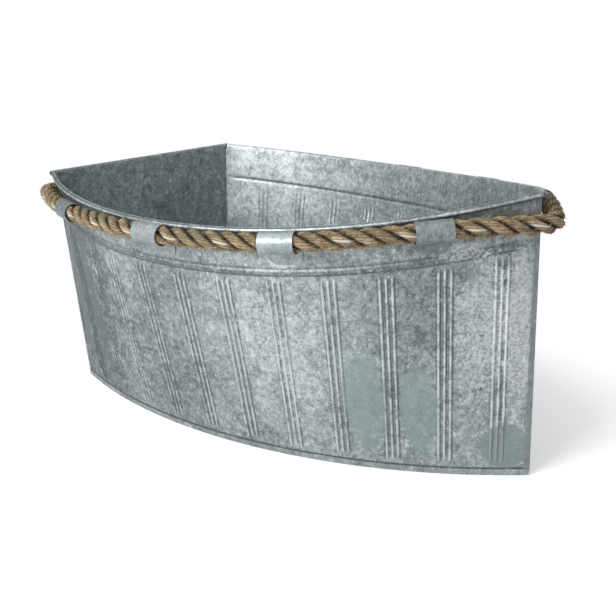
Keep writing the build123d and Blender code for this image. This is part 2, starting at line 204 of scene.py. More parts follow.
def bowed(start, end, bulge, share):
    """Plan point at a share of the way along a circular bow that stands out from its chord."""
    chord = math.dist(start, end)
    radius = (chord**2 / 4 + bulge**2) / (2 * bulge)
    half_angle = math.asin(chord / 2 / radius)
    angle = (2 * share - 1) * half_angle
    along = 0.5 + radius * math.sin(angle) / chord
    out = radius * math.cos(angle) - (radius - bulge)
    along += FULLNESS * along * (1 - along)
    run = ((end[0] - start[0]) / chord, (end[1] - start[1]) / chord)
    return (
        start[0] + run[0] * along * chord + run[1] * out,
        start[1] + run[1] * along * chord - run[0] * out,
    )


def side_point(share, height):
    """Point in the middle of the starboard sheet, in millimetres."""
    foot = bowed((STERN_RAKE, -FOOT_STERN_WIDTH / 2), (LENGTH, 0), FOOT_BULGE, share)
    rim = bowed((0, -STERN_WIDTH / 2), (LENGTH, 0), RIM_BULGE, share)
    rise = height / WALL_HEIGHT
    return Vector(
        (foot[0] + (rim[0] - foot[0]) * rise, foot[1] + (rim[1] - foot[1]) * rise, height)
    )


def rim_height(share):
    """Top of the rolled rim."""
    along = side_point(share, WALL_HEIGHT).x / LENGTH
    return STERN_HEIGHT + BOW_RISE * along**SHEER_POWER - 4 * SHEER_DIP * along * (1 - along)


def wall_up(share):
    """Direction up the wall."""
    return (side_point(share, WALL_HEIGHT) - side_point(share, 0)).normalized()


def wall_out(share):
    """Outward normal of the starboard wall."""
    step = 0.002
    ahead = side_point(share + step, WALL_HEIGHT / 2)
    behind = side_point(share - step, WALL_HEIGHT / 2)
    return (ahead - behind).cross(wall_up(share)).normalized()


def side_length():
    """Length of one side along the rim."""
    chord = math.dist((0, -STERN_WIDTH / 2), (LENGTH, 0))
    radius = (chord**2 / 4 + RIM_BULGE**2) / (2 * RIM_BULGE)
    return 2 * radius * math.asin(chord / 2 / radius)


def row(point):
    """A point of the hull, in millimetres, as a point of the row frame in metres."""
    return Vector(((point.x + ROW_SHIFT) * MM, point.y * MM, point.z * MM))


# Plain tools of the trade


def deselect():
    """Nothing stays selected, so that an operator acts only on what is chosen next."""
    if bpy.context.object and bpy.context.object.mode != "OBJECT":
        bpy.ops.object.mode_set(mode="OBJECT")
    bpy.ops.object.select_all(action="DESELECT")


def choose(thing):
    """Makes one object the selected and active one."""
    deselect()
    thing.select_set(True)
    bpy.context.view_layer.objects.active = thing
    return thing


def settle(thing):
    """Puts an object's place, turn and scale into its mesh."""
    choose(thing)
    bpy.ops.object.transform_apply(location=True, rotation=True, scale=True)
    return thing


def apply_modifiers(thing):
    """Applies each modifier in order."""
    choose(thing)
    for modifier in list(thing.modifiers):
        bpy.ops.object.modifier_apply(modifier=modifier.name)


def outward_faces(thing):
    """Turns each face of a closed mesh outwards."""
    choose(thing)
    bpy.ops.object.mode_set(mode="EDIT")
    bpy.ops.mesh.select_all(action="SELECT")
    bpy.ops.mesh.normals_make_consistent(inside=False)
    bpy.ops.object.mode_set(mode="OBJECT")


def smooth(thing, degrees):
    """Smooth shading that keeps the sharp edges."""
    choose(thing)
    bpy.ops.object.shade_smooth_by_angle(angle=math.radians(degrees))


def finish_piece(thing, name, material):
    """Names a piece, gives it its finish and lets it ride on the hull."""
    thing.name = name
    thing.data.name = name
    thing.data.materials.clear()
    thing.data.materials.append(material)
    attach(thing, BODY)
    return thing


def copy_of_node(node):
    """A merged copy of a solid's mesh, free to be bevelled and smoothed."""
    source = frame["nodes"][node]
    copy = source.copy()
    copy.data = source.data.copy()
    copy.parent = None
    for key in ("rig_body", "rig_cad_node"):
        if key in copy:
            del copy[key]
    bpy.context.scene.collection.objects.link(copy)
    choose(copy)
    bpy.ops.object.mode_set(mode="EDIT")
    bpy.ops.mesh.select_all(action="SELECT")
    bpy.ops.mesh.customdata_custom_splitnormals_clear()
    bpy.ops.mesh.remove_doubles(threshold=0.000005)
    bpy.ops.mesh.select_all(action="DESELECT")
    bpy.ops.object.mode_set(mode="OBJECT")
    return copy


def grid_surface(name, columns, rows, place):
    """A grid whose points are put in place by column and row."""
    deselect()
    bpy.ops.mesh.primitive_grid_add(
        x_subdivisions=columns - 1, y_subdivisions=rows - 1, size=1, location=(0, 0, 0)
    )
    thing = bpy.context.object
    thing.name = name
    for vertex in thing.data.vertices:
        column = round((vertex.co.x + 0.5) * (columns - 1))
        line = round((vertex.co.y + 0.5) * (rows - 1))
        vertex.co = place(column, line)
    return thing


def mirrored(thing, name):
    """A copy on the port side, with its faces pointing outwards."""
    copy = thing.copy()
    copy.data = thing.data.copy()
    copy.name = name
    bpy.context.scene.collection.objects.link(copy)
    copy.scale.y = -1
    settle(copy)
    bpy.ops.object.mode_set(mode="EDIT")
    bpy.ops.mesh.select_all(action="SELECT")
    bpy.ops.mesh.flip_normals()
    bpy.ops.object.mode_set(mode="OBJECT")
    return copy


# Settings


class PLANTER_PG_sheet(bpy.types.PropertyGroup):
    """Sizes and colours of the zinc-coated sheet."""

    bead_height: bpy.props.FloatProperty(
        name="Bead height",
        description="How far the bead under the rim stands out",
        default=1.15 * MM,
        unit="LENGTH",
    )
    bead_half: bpy.props.FloatProperty(
        name="Bead half width",
        description="Half the width of the bead at its foot",
        default=3.4 * MM,
        unit="LENGTH",
    )
    rib_height: bpy.props.FloatProperty(
        name="Rib height",
        description="How far a pressed rib stands out",
        default=1.25 * MM,
        unit="LENGTH",
    )
    rib_half: bpy.props.FloatProperty(
        name="Rib half width",
        description="Half the width of a pressed rib at its foot",
        default=2.1 * MM,
        unit="LENGTH",
    )
    waviness: bpy.props.FloatProperty(
        name="Waviness",
        description="How far the hand-bent sheet strays from a true curve",
        default=0.35 * MM,
        unit="LENGTH",
    )
    dark: bpy.props.FloatVectorProperty(
        name="Dark zinc",
        description="Colour of the darkest crystals",
        default=(0.120, 0.142, 0.148),
        subtype="COLOR",
    )
    middle: bpy.props.FloatVectorProperty(
        name="Middle zinc",
        description="Colour of most of the sheet",
        default=(0.310, 0.355, 0.364),
        subtype="COLOR",
    )
    light: bpy.props.FloatVectorProperty(
        name="Light zinc",
        description="Colour of the palest crystals",
        default=(0.600, 0.645, 0.655),
        subtype="COLOR",
    )
    bloom: bpy.props.FloatVectorProperty(
        name="White bloom",
        description="Colour of the chalky zinc oxide",
        default=(0.700, 0.735, 0.740),
        subtype="COLOR",
    )


class PLANTER_PG_rope(bpy.types.PropertyGroup):
    """Sizes and colours of the laid rope."""

    strand_radius: bpy.props.FloatProperty(
        name="Strand radius",
        description="Radius of one of the three strands",
        default=4.15 * MM,
        unit="LENGTH",
    )
    lay: bpy.props.FloatProperty(
        name="Lay",
        description="Length of one full turn of a strand",
        default=56.0 * MM,
        unit="LENGTH",
    )
    straw: bpy.props.FloatVectorProperty(
        name="Straw",
        description="Colour of the fibre",
        default=(0.700, 0.540, 0.340),
        subtype="COLOR",
    )
    shade: bpy.props.FloatVectorProperty(
        name="Shade",
        description="Colour of the darker yarns",
        default=(0.235, 0.165, 0.090),
        subtype="COLOR",
    )
    cream: bpy.props.FloatVectorProperty(
        name="Cream",
        description="Colour of the pale yarn in each strand",
        default=(0.880, 0.820, 0.700),
        subtype="COLOR",
    )


class PLANTER_PG_stage(bpy.types.PropertyGroup):
    """Strength of the studio light."""

    key: bpy.props.FloatProperty(
        name="Key light",
        description="Power of the large lamp before the starboard side",
        default=44.0,
        unit="POWER",
    )
    fill: bpy.props.FloatProperty(
        name="Fill light",
        description="Power of the lamp above",
        default=12.0,
        unit="POWER",
    )
    ambient: bpy.props.FloatProperty(
        name="Surroundings",
        description="Strength of the pale room round the planter",
        default=0.40,
        subtype="FACTOR",
    )


# Shader tools


def shader_group(name, inputs, outputs):
    """A node group with named sockets."""
    tree = bpy.data.node_groups.new(name, "ShaderNodeTree")
    for label, kind, value in inputs:
        socket = tree.interface.new_socket(label, in_out="INPUT", socket_type=kind)
        if value is not None:
            socket.default_value = value
    for label, kind in outputs:
        tree.interface.new_socket(label, in_out="OUTPUT", socket_type=kind)
    return tree, tree.nodes.new("NodeGroupInput"), tree.nodes.new("NodeGroupOutput")


def plug(tree, value, socket):
    """Links a socket, or sets a plain value."""
    if isinstance(value, bpy.types.NodeSocket):
        tree.links.new(value, socket)
    elif value is not None:
        socket.default_value = value


def calculate(tree, operation, first, second=None, third=None, clamp=False):
    """One sum on numbers."""
    node = tree.nodes.new("ShaderNodeMath")
    node.operation = operation
    node.use_clamp = clamp
    for socket, value in zip(node.inputs, (first, second, third)):
        plug(tree, value, socket)
    return node.outputs[0]


def vector(tree, operation, first, second=None):
    """One sum on vectors, or a vector's length."""
    node = tree.nodes.new("ShaderNodeVectorMath")
    node.operation = operation
    plug(tree, first, node.inputs[0])
    if operation == "SCALE":
        plug(tree, second, node.inputs["Scale"])
    elif second is not None:
        plug(tree, second, node.inputs[1])
    return node.outputs["Value" if operation == "LENGTH" else "Vector"]


def noise(tree, where, scale, detail=3.0, roughness=0.5, distortion=0.0):
    """Soft noise at a scale."""
    node = tree.nodes.new("ShaderNodeTexNoise")
    plug(tree, where, node.inputs["Vector"])
    node.inputs["Scale"].default_value = scale
    node.inputs["Detail"].default_value = detail
    node.inputs["Roughness"].default_value = roughness
    node.inputs["Distortion"].default_value = distortion
    return node


def cells(tree, where, scale, feature="F1"):
    """Random cells at a scale."""
    node = tree.nodes.new("ShaderNodeTexVoronoi")
    node.feature = feature
    plug(tree, where, node.inputs["Vector"])
    plug(tree, scale, node.inputs["Scale"])
    return node


def remap(tree, value, low, high, to_low=0.0, to_high=1.0, kind="SMOOTHSTEP"):
    """A number moved from one range to another."""
    node = tree.nodes.new("ShaderNodeMapRange")
    node.interpolation_type = kind
    plug(tree, value, node.inputs["Value"])
    ends = {"From Min": low, "From Max": high, "To Min": to_low, "To Max": to_high}
    for label, number in ends.items():
        plug(tree, number, node.inputs[label])
    return node.outputs[0]


def blend(tree, share, first, second, kind="MIX"):
    """Two colours mixed by a share."""
    node = tree.nodes.new("ShaderNodeMix")
    node.data_type = "RGBA"
    node.blend_type = kind
    plug(tree, share, node.inputs[0])
    plug(tree, first, node.inputs[6])
    plug(tree, second, node.inputs[7])
    return node.outputs[2]


def first_of(tree, colour):
    """The first channel of a colour."""
    node = tree.nodes.new("ShaderNodeSeparateColor")
    tree.links.new(colour, node.inputs[0])
    return node.outputs[0]


def named_value(tree, name):
    """A number stored on the mesh, such as the painted highlight and shade of the pressed sheet.
    """
    node = tree.nodes.new("ShaderNodeAttribute")
    node.attribute_name = name
    return node.outputs["Fac"]


def joined(tree, *parts):
    """Up to three numbers as one vector."""
    node = tree.nodes.new("ShaderNodeCombineXYZ")
    for part, socket in zip(parts, node.inputs):
        plug(tree, part, socket)
    return node.outputs[0]


def rgba(colour):
    """A colour with full alpha."""
    return (colour[0], colour[1], colour[2], 1.0)


def group_node(tree, group, **values):
    """A node group placed with its own values; _ stands for a space."""
    node = tree.nodes.new("ShaderNodeGroup")
    node.node_tree = group
    for label, value in values.items():
        plug(tree, value, node.inputs[label.replace("_", " ")])
    return node


# Noise of the zinc: scale, detail, roughness, distortion, and its weight in the tone.
ZINC_NOISE = {
    "blotch": (85.0, 5.0, 0.62, 0.3, 0.95),
    "mottle": (230.0, 4.0, 0.65, 0.4, 1.25),
    "cloud": (12.0, 5.0, 0.6, 0.4, 0.75),
    "grain": (620.0, 3.0, 0.6, 0.0, 0.9),
}
CRYSTAL_SCALE = 150.0
CRYSTAL_WARP = 0.010
STREAK_SCALE = 330.0
STREAK_STRETCH = (1.0, 1.0, 0.45)
CHALK_SCALE = 21.0
SPECK_SCALE = 60.0
SPECK_COLOUR = (0.06, 0.065, 0.065, 1.0)
PAINTED_LINE_STRENGTH = 0.58
PATCH_COARSE = 34.0
PATCH_FINE = 210.0
PATCH_GRIT = 380.0


def patch_group():
    """Mask of one ragged patch round a place on the object, with bare grit showing through."""
    tree, given, result = shader_group(
        "ragged patch",
        [
            ("Vector", "NodeSocketVector", None),
            ("Centre", "NodeSocketVector", (0, 0, 0)),
            ("Size", "NodeSocketVector", (0.05, 0.05, 0.05)),
            ("Ragged", "NodeSocketFloat", 0.5),
            ("Edge", "NodeSocketFloat", 0.6),
        ],
        [("Mask", "NodeSocketFloat")],
    )
    where = given.outputs["Vector"]
    ragged = given.outputs["Ragged"]
    place = vector(tree, "SUBTRACT", where, given.outputs["Centre"])
    place = vector(tree, "DIVIDE", place, given.outputs["Size"])
    reach = vector(tree, "LENGTH", place)
    coarse = noise(tree, where, PATCH_COARSE, 6.0, 0.68).outputs["Fac"]
    fine = noise(tree, where, PATCH_FINE, 4.0, 0.7).outputs["Fac"]
    rough = calculate(tree, "SUBTRACT", calculate(tree, "ADD", coarse, fine), 1.0)
    reach = calculate(tree, "ADD", reach, calculate(tree, "MULTIPLY", rough, ragged))
    mask = remap(tree, reach, 1.0, given.outputs["Edge"])
    grit = noise(tree, where, PATCH_GRIT, 4.0, 0.7).outputs["Fac"]
    bare = calculate(tree, "SUBTRACT", 1.0, remap(tree, grit, 0.42, 0.58))
    share = calculate(tree, "MULTIPLY", ragged, 0.5, clamp=True)
    bare = calculate(tree, "MULTIPLY", bare, share)
    mask = calculate(tree, "MULTIPLY", mask, calculate(tree, "SUBTRACT", 1.0, bare))
    tree.links.new(mask, result.inputs["Mask"])
    return tree


def zinc_tone(tree, given, layers):
    """Lightness of the zinc round its middle colour."""
    where = given.outputs["Vector"]
    warp = noise(tree, where, CRYSTAL_SCALE, 3.0, 0.6).outputs["Color"]
    warp = vector(tree, "SUBTRACT", warp, (0.5, 0.5, 0.5))
    bent = vector(tree, "ADD", where, vector(tree, "SCALE", warp, CRYSTAL_WARP))
    crystal = first_of(tree, cells(tree, bent, CRYSTAL_SCALE).outputs["Color"])
    stretched = vector(tree, "MULTIPLY", bent, STREAK_STRETCH)
    streak = noise(tree, stretched, STREAK_SCALE, 3.0, 0.6).outputs["Fac"]
    tone = calculate(tree, "MULTIPLY", calculate(tree, "SUBTRACT", crystal, 0.5), 0.14)
    for name, layer in layers.items():
        change = calculate(tree, "SUBTRACT", layer, 0.5)
        tone = calculate(tree, "MULTIPLY_ADD", change, ZINC_NOISE[name][-1], tone)
    tone = calculate(tree, "MULTIPLY_ADD", remap(tree, streak, 0.56, 0.74), 0.60, tone)
    tone = calculate(tree, "MULTIPLY_ADD", remap(tree, streak, 0.42, 0.26), -0.42, tone)
    tone = calculate(tree, "MULTIPLY", tone, given.outputs["Contrast"])
    tone = calculate(tree, "ADD", tone, given.outputs["Tone"])
    # Painted highlight and shade lines of the pressed forms, made patchy by the blotch noise.
    shading_patchiness = remap(tree, layers["blotch"], 0.32, 0.62, 0.35, 1.25)
    patchy_shading = calculate(tree, "MULTIPLY", given.outputs["Relief"], shading_patchiness)
    return calculate(tree, "MULTIPLY_ADD", patchy_shading, PAINTED_LINE_STRENGTH, tone)


def zinc_group(sheet):
    """Mottle, flecks, oxide bloom and specks of hot-dipped zinc, with the painted highlight and
    shade lines of the pressed forms added to its tone.
    """
    tree, given, result = shader_group(
        "zinc skin",
        [
            ("Vector", "NodeSocketVector", None),
            ("Dark", "NodeSocketColor", rgba(sheet.dark)),
            ("Middle", "NodeSocketColor", rgba(sheet.middle)),
            ("Light", "NodeSocketColor", rgba(sheet.light)),
            ("Bloom", "NodeSocketColor", rgba(sheet.bloom)),
            ("Bloom amount", "NodeSocketFloat", 0.5),
            ("Tone", "NodeSocketFloat", 0.0),
            ("Contrast", "NodeSocketFloat", 1.0),
            ("Relief", "NodeSocketFloat", 0.0),
        ],
        [
            ("Color", "NodeSocketColor"),
            ("Roughness", "NodeSocketFloat"),
            ("Height", "NodeSocketFloat"),
        ],
    )
    where = given.outputs["Vector"]
    layers = {}
    for name, numbers in ZINC_NOISE.items():
        layers[name] = noise(tree, where, *numbers[:-1]).outputs["Fac"]
    tone = zinc_tone(tree, given, layers)
    upper = remap(tree, tone, 0.0, 0.5, kind="LINEAR")
    lower = remap(tree, tone, 0.0, -0.5, kind="LINEAR")
    colour = blend(tree, upper, given.outputs["Middle"], given.outputs["Light"])
    colour = blend(tree, lower, colour, given.outputs["Dark"])
    chalk = noise(tree, where, CHALK_SCALE, 9.0, 0.76, 0.6).outputs["Fac"]
    edge = calculate(tree, "MULTIPLY_ADD", given.outputs["Bloom amount"], -0.32, 0.72)
    chalk = remap(tree, chalk, edge, calculate(tree, "ADD", edge, 0.16))
    pits = remap(tree, layers["mottle"], 0.36, 0.60)
    chalk = calculate(tree, "MULTIPLY", chalk, calculate(tree, "MULTIPLY_ADD", pits, 0.6, 0.2))
    colour = blend(tree, chalk, colour, given.outputs["Bloom"])
    speck = cells(tree, where, SPECK_SCALE)
    chosen = remap(tree, first_of(tree, speck.outputs["Color"]), 0.80, 0.82)
    dot = remap(tree, speck.outputs["Distance"], 0.12, 0.05)
    dot = calculate(tree, "MULTIPLY", calculate(tree, "MULTIPLY", dot, chosen), 0.6)
    tree.links.new(blend(tree, dot, colour, SPECK_COLOUR), result.inputs["Color"])
    change = calculate(tree, "SUBTRACT", layers["blotch"], 0.5)
    gloss = calculate(tree, "MULTIPLY_ADD", change, -0.35, 0.46)
    gloss = calculate(tree, "MULTIPLY_ADD", chalk, 0.25, gloss)
    gloss = calculate(tree, "MULTIPLY_ADD", given.outputs["Relief"], -0.10, gloss, clamp=True)
    tree.links.new(gloss, result.inputs["Roughness"])
    height = calculate(tree, "MULTIPLY", layers["blotch"], 0.5)
    height = calculate(tree, "MULTIPLY_ADD", layers["cloud"], 1.2, height)
    height = calculate(tree, "MULTIPLY_ADD", layers["mottle"], 0.25, height)
    height = calculate(tree, "MULTIPLY_ADD", layers["grain"], 0.06, height)
    tree.links.new(height, result.inputs["Height"])
    return tree


def principled(name):
    """A new material with its shader and an object coordinate."""
    material = bpy.data.materials.new(name)
    material.use_nodes = True
    tree = material.node_tree
    shader = tree.nodes["Principled BSDF"]
    where = tree.nodes.new("ShaderNodeTexCoord").outputs["Object"]
    return material, tree, shader, where


def bump(tree, height, strength, distance, shader):
    """Fine relief in the shading."""
    node = tree.nodes.new("ShaderNodeBump")
    node.inputs["Strength"].default_value = strength
    node.inputs["Distance"].default_value = distance
    tree.links.new(height, node.inputs["Height"])
    tree.links.new(node.outputs["Normal"], shader.inputs["Normal"])


def zinc_material(name, group, patch, look):
    """Zinc with lighter or darker areas, partly its own uneven tone and partly painted light and
    painted shade, and with wiped, chalky or dark stains at given places.
    """
    material, tree, shader, where = principled(name)

    def patch_mask(centre, size, ragged, edge):
        given = {"Vector": where, "Centre": centre, "Size": size, "Ragged": ragged, "Edge": edge}
        return group_node(tree, patch, **given).outputs[0]

    painted_shading = named_value(tree, "painted_shading")
    tone = look.get("tone", 0.0)
    for *place, amount in look.get("painted_light_and_tone", ()):
        tone = calculate(tree, "MULTIPLY_ADD", patch_mask(*place), amount, tone)
    skin = group_node(
        tree,
        group,
        Vector=where,
        Tone=tone,
        Contrast=look.get("contrast", 1.0),
        Bloom_amount=look.get("bloom", 0.5),
        Relief=painted_shading,
    )
    colour = skin.outputs["Color"]
    gloss = skin.outputs["Roughness"]
    for *place, stain, share, rough in look.get("stains", ()):
        mask = calculate(tree, "MULTIPLY", patch_mask(*place), share)
        colour = blend(tree, mask, colour, rgba(stain))
        gloss = calculate(tree, "MULTIPLY_ADD", mask, rough, gloss, clamp=True)
    tree.links.new(colour, shader.inputs["Base Color"])
    tree.links.new(gloss, shader.inputs["Roughness"])
    shader.inputs["Metallic"].default_value = look.get("metallic", 0.6)
    bump(tree, skin.outputs["Height"], 0.5, 0.0006, shader)
    return material


# Noise of the rope: scale, detail and roughness.
YARN_WANDER = (90.0, 2.0, 0.5)
FIBRE_NOISE = (1.0, 4.0, 0.7)
FIBRE_AROUND = 55.0
FIBRE_ALONG = 120.0
SPOT_NOISE = (260.0, 5.0, 0.7)
MOSS_NOISE = (45.0, 3.0, 0.6)
MOSS_COLOUR = (0.300, 0.285, 0.165, 1.0)
# The yarns turn back twice in each lay of the strands, so that they run nearly along the rope.
YARN_TURNS = -2.0


def rope_material(rope):
    """Twisted straw yarns, with one cream yarn in one of the strands."""
    material, tree, shader, where = principled("laid straw rope")
    around = tree.nodes.new("ShaderNodeUVMap")
    around.uv_map = "yarns"
    strand = named_value(tree, "strand")
    split = tree.nodes.new("ShaderNodeSeparateXYZ")
    tree.links.new(around.outputs[0], split.inputs[0])
    along = split.outputs["Y"]
    turn = calculate(tree, "MULTIPLY_ADD", along, YARN_TURNS / rope.lay, split.outputs["X"])
    wander = calculate(tree, "MULTIPLY", noise(tree, where, *YARN_WANDER).outputs["Fac"], 0.7)
    yarn = calculate(tree, "MULTIPLY_ADD", turn, YARNS, wander)
    ridge = calculate(tree, "PINGPONG", calculate(tree, "FRACT", yarn), 0.5)
    ridge = remap(tree, ridge, 0.0, 0.34)
    number = calculate(tree, "ADD", yarn, 1000.0 * YARNS)
    number = calculate(tree, "FLOOR", calculate(tree, "MODULO", number, YARNS))
    pick = tree.nodes.new("ShaderNodeTexWhiteNoise")
    pick.noise_dimensions = "2D"
    tree.links.new(joined(tree, number, strand), pick.inputs["Vector"])
    run = calculate(tree, "MULTIPLY", turn, FIBRE_AROUND)
    run = joined(tree, run, calculate(tree, "MULTIPLY", along, FIBRE_ALONG), strand)
    fibre = noise(tree, run, *FIBRE_NOISE).outputs["Fac"]
    spots = noise(tree, where, *SPOT_NOISE).outputs["Fac"]
    tone = calculate(tree, "MULTIPLY", pick.outputs["Value"], 0.35)
    tone = calculate(tree, "MULTIPLY_ADD", fibre, 0.9, tone)
    tone = calculate(tree, "MULTIPLY_ADD", spots, 1.5, tone)
    tone = remap(tree, tone, 1.05, 1.75)
    colour = blend(tree, tone, rgba(rope.shade), rgba(rope.straw))
    moss = remap(tree, noise(tree, where, *MOSS_NOISE).outputs["Fac"], 0.48, 0.66, 0.0, 0.55)
    colour = blend(tree, moss, colour, MOSS_COLOUR)
    colour = blend(tree, remap(tree, fibre, 0.56, 0.74, 0.0, 0.75), colour, rgba(rope.cream))
    cream = calculate(tree, "COMPARE", number, 0.0, 0.5)
    first_strand = calculate(tree, "COMPARE", strand, 0.0, 0.1)
    cream = calculate(tree, "MULTIPLY", cream, first_strand)
    cream = calculate(tree, "MULTIPLY", cream, remap(tree, fibre, 0.3, 0.5, 0.6, 1.0))
    colour = blend(tree, cream, colour, rgba(rope.cream))
    # Painted shade in the gaps between the yarns, and deeper painted shade on the sides of the
    # strands that face the rope's middle, where the strands press together.
    groove = calculate(tree, "MULTIPLY_ADD", ridge, 0.42, 0.58)
    strand_gap_shade = remap(tree, named_value(tree, "hollow"), 0.12, 0.62, 1.0, 0.16)
    colour = blend(tree, 1.0, colour, calculate(tree, "MULTIPLY", groove, strand_gap_shade), "MULTIPLY")
    tree.links.new(colour, shader.inputs["Base Color"])
    shader.inputs["Roughness"].default_value = 0.85
    shader.inputs["Specular IOR Level"].default_value = 0.25
    height = calculate(tree, "MULTIPLY_ADD", fibre, 1.6, calculate(tree, "MULTIPLY", ridge, 0.7))
    height = calculate(tree, "MULTIPLY_ADD", spots, 1.2, height)
    bump(tree, height, 1.0, 0.0011, shader)
    return material


FINISHES = {}


def finishes():
    """The materials, made once."""
    if FINISHES:
        return FINISHES
    scene = bpy.context.scene
    group = zinc_group(scene.planter_sheet)
    patch = patch_group()
    wiped = (0.270, 0.335, 0.330)
    pewter = (0.250, 0.300, 0.315)
    pale_green = (0.400, 0.465, 0.440)
    chalk = (0.720, 0.750, 0.745)
    soot = (0.045, 0.050, 0.050)
    # Each shade is a place, its reach, raggedness, edge and change of tone; together they are
    # partly the zinc's own uneven tone and partly painted light and painted shade where light
    # falls on the sides;
    # each stain is a place, its reach, raggedness, edge, colour, share and change of roughness.
    starboard_look = {
        "tone": -0.06,
        "bloom": 0.42,
        "painted_light_and_tone": [
            # Painted shade: the stern end of the starboard side, turned away from the light, made
            # much darker.
            ((-0.240, -0.150, 0.130), (0.160, 0.080, 0.200), 0.8, 0.2, -0.78),
            ((-0.060, -0.170, 0.090), (0.110, 0.060, 0.130), 0.9, 0.2, -0.16),
            # Painted light: the middle of the starboard side, which faces the light, made lighter.
            ((0.085, -0.140, 0.130), (0.075, 0.060, 0.170), 0.9, 0.2, 0.22),
            ((0.190, -0.080, 0.160), (0.050, 0.050, 0.100), 0.8, 0.2, -0.06),
            # Painted shade: a darker band on the starboard side under the rope.
            ((0.120, -0.140, 0.228), (0.150, 0.120, 0.022), 0.5, 0.3, -0.04),
        ],
        "stains": [
            ((0.159, -0.097, 0.073), (0.021, 0.050, 0.062), 0.30, 0.70, wiped, 0.80, -0.05),
            ((0.202, -0.069, 0.068), (0.017, 0.050, 0.055), 0.30, 0.70, wiped, 0.75, -0.05),
            ((0.247, -0.038, 0.150), (0.024, 0.040, 0.075), 1.70, 0.70, chalk, 0.62, 0.20),
            ((0.270, -0.011, 0.145), (0.012, 0.040, 0.100), 1.50, 0.70, chalk, 0.66, 0.20),
            ((0.237, -0.057, 0.222), (0.026, 0.030, 0.010), 1.80, 0.60, chalk, 0.60, 0.20),
            ((0.102, -0.128, 0.100), (0.016, 0.050, 0.060), 1.70, 0.60, chalk, 0.45, 0.15),
            ((0.074, -0.146, 0.140), (0.026, 0.050, 0.050), 1.90, 0.60, chalk, 0.40, 0.15),
            ((0.109, -0.148, 0.211), (0.014, 0.020, 0.007), 1.10, 0.60, chalk, 0.95, 0.20),
            ((0.262, -0.016, 0.030), (0.020, 0.040, 0.024), 0.12, 0.90, pewter, 0.85, -0.05),
            ((-0.088, -0.157, 0.087), (0.010, 0.030, 0.0014), 0.50, 0.50, soot, 0.85, 0.10),
            ((-0.272, -0.128, 0.150), (0.014, 0.030, 0.090), 0.50, 0.40, pale_green, 0.70, -0.08),
        ],
    }
    port_look = {
        "tone": -0.05,
        "bloom": 0.50,
        # Painted light: the stern end of the port side, where the light falls inside the hull,
        # made lighter.
        "painted_light_and_tone": [((-0.230, 0.160, 0.200), (0.130, 0.080, 0.120), 0.6, 0.2, 0.26)],
    }
    looks = {
        "starboard": ("zinc starboard side", starboard_look),
        "port": ("zinc port side", port_look),
        "transom": ("zinc transom", {"tone": -0.06, "bloom": 0.20}),
        "floor": ("zinc floor pan", {"tone": -0.05, "contrast": 0.8, "bloom": 0.30}),
        "strap": ("zinc strap", {"tone": 0.02, "contrast": 0.6, "bloom": 0.35}),
        "darker strap": ("darker zinc strap", {"tone": -0.20, "contrast": 0.6, "bloom": 0.10}),
        "seam": ("wiped seam", {"tone": -0.22, "contrast": 0.4, "bloom": 0.15}),
        "wire": ("drawn wire", {"contrast": 0.3, "bloom": 0.0, "metallic": 0.9}),
    }
    for key, (name, look) in looks.items():
        FINISHES[key] = zinc_material(name, group, patch, look)
    FINISHES["rope"] = rope_material(scene.planter_rope)
    return FINISHES


# Side panels


def bell(distance, width):
    """A soft bump of height 1 round zero."""
    return math.exp(-((distance / width) ** 2))


def painted_light_lines(distance, lines):
    """Painted highlight and shade at a distance from the middle of a pressed form."""
    return sum(level * bell(distance - place, width) for level, place, width in lines)


def rib_profile(share, rib_half):
    """Height of the ribs, from 0 to 1, and the painted highlight and shade there."""
    length = side_length()
    height = 0.0
    painted_shading = 0.0
    for group in range(RIB_GROUPS):
        middle = RIB_FIRST + RIB_PITCH * group
        if abs(share - middle) * length > 2 * RIB_SPACING:
            continue
        for place in (-1, 0, 1):
            distance = (share - middle) * length - place * RIB_SPACING
            if abs(distance) < rib_half:
                crest = 0.5 + 0.5 * math.cos(math.pi * distance / rib_half)
                height = max(height, crest**RIB_SHARPNESS)
            painted_shading += painted_light_lines(distance, RIB_PAINTED_LIGHT)
    return height, painted_shading * (STERN_PAINTED_LIGHT + (1 - STERN_PAINTED_LIGHT) * ramp(share, *FULL_PAINTED_LIGHT))


def ramp(value, low, high):
    """Smooth rise from 0 at low to 1 at high."""
    value = max(0.0, min(1.0, (value - low) / (high - low)))
    return value * value * (3 - 2 * value)


def side_columns(rib_half):
    """Shares of the side at which the skin has a column of points."""
    marks = {SKIN_STERN, SKIN_BOW}
    for step in range(1, PLAIN_COLUMNS):
        marks.add(step / PLAIN_COLUMNS)
    near = []
    for group in range(RIB_GROUPS):
        middle = RIB_FIRST + RIB_PITCH * group
        half = (RIB_SPACING + rib_half + RIB_EDGE) / side_length()
        marks = {mark for mark in marks if abs(mark - middle) > half}
        for step in range(RIB_COLUMNS + 1):
            near.append(middle + half * (2 * step / RIB_COLUMNS - 1))
    return sorted(marks | {mark for mark in near if SKIN_STERN < mark < SKIN_BOW})


